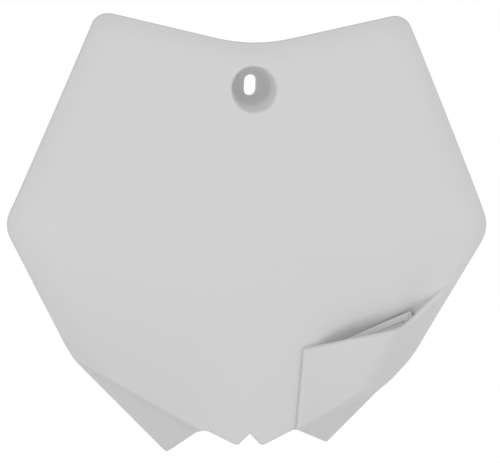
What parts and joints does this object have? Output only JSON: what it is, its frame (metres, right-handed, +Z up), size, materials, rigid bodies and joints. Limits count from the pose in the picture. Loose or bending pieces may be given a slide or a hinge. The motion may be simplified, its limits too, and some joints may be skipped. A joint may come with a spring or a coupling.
{
  "type": "front number plate",
  "caption": "One-piece moulded front number plate for an off-road motorcycle, with a recessed screw slot, folded lower wings and a hose flap with a hook.",
  "frame": {"origin": "centre of the screw slot, on the seat at the back of the cup floor", "axes": "+Z up, +Y to the rear along the screw, towards the machine, and +X to the right as seen from in front of the plate"},
  "size_m": [0.25, 0.0367, 0.2263],
  "materials": {
    "white_plastic": "satin moulded polypropylene, plain white"
  },
  "bodies": {
    "root": {"number_plate": "white_plastic"}
  },
  "joints": []
}
